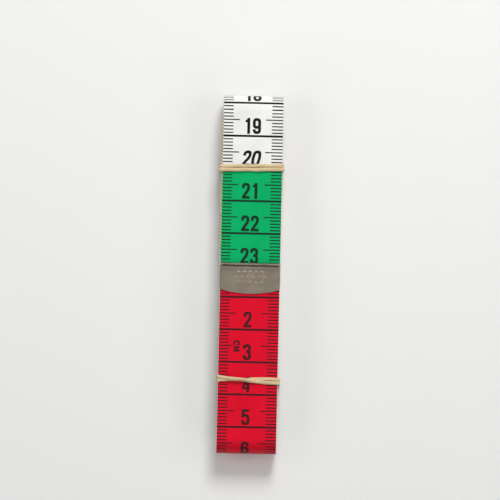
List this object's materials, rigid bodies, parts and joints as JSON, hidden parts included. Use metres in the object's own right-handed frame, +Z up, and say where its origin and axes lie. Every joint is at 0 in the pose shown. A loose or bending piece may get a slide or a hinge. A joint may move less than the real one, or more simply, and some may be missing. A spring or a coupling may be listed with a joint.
{
  "type": "tape measure",
  "caption": "Printed cloth tape measure, wound flat, with folded metal ferrules on its ends; doubled rubber bands hold the winding and slide off it, and the free end lifts.",
  "frame": {"origin": "under the middle of the winding, on the surface that the bands rest on", "axes": "+Y along the winding towards the end that the loose tape end points to, +X across the tape, +Z up out of the printed face"},
  "size_m": [0.0215, 0.1098, 0.0129],
  "materials": {
    "coated_cloth": "satin",
    "coated_cloth_red": "satin",
    "nickel_plate": "satin",
    "latex": "matte"
  },
  "bodies": {
    "pack": {"tape_winding": "coated_cloth", "inner_end_ferrule": "nickel_plate"},
    "free_end": {"tape_free_end": "coated_cloth_red", "outer_end_ferrule": "nickel_plate"},
    "upper_band": {"upper_rubber_band": "latex"},
    "lower_band": {"lower_rubber_band": "latex"}
  },
  "joints": [
    {"name": "free_end_lift", "type": "hinge", "parent": "pack", "child": "free_end", "pos_m": [0, -0.03012, 0.01077], "axis": [1, 0, 0], "range_deg": [0, 60], "stiffness_Nm_per_rad": 0.002},
    {"name": "upper_band_slide", "type": "slide", "parent": "pack", "child": "upper_band", "axis": [0, 1, 0], "range_m": [-0.027, 0.026]},
    {"name": "lower_band_slide", "type": "slide", "parent": "pack", "child": "lower_band", "axis": [0, -1, 0], "range_m": [0, 0.026]}
  ]
}
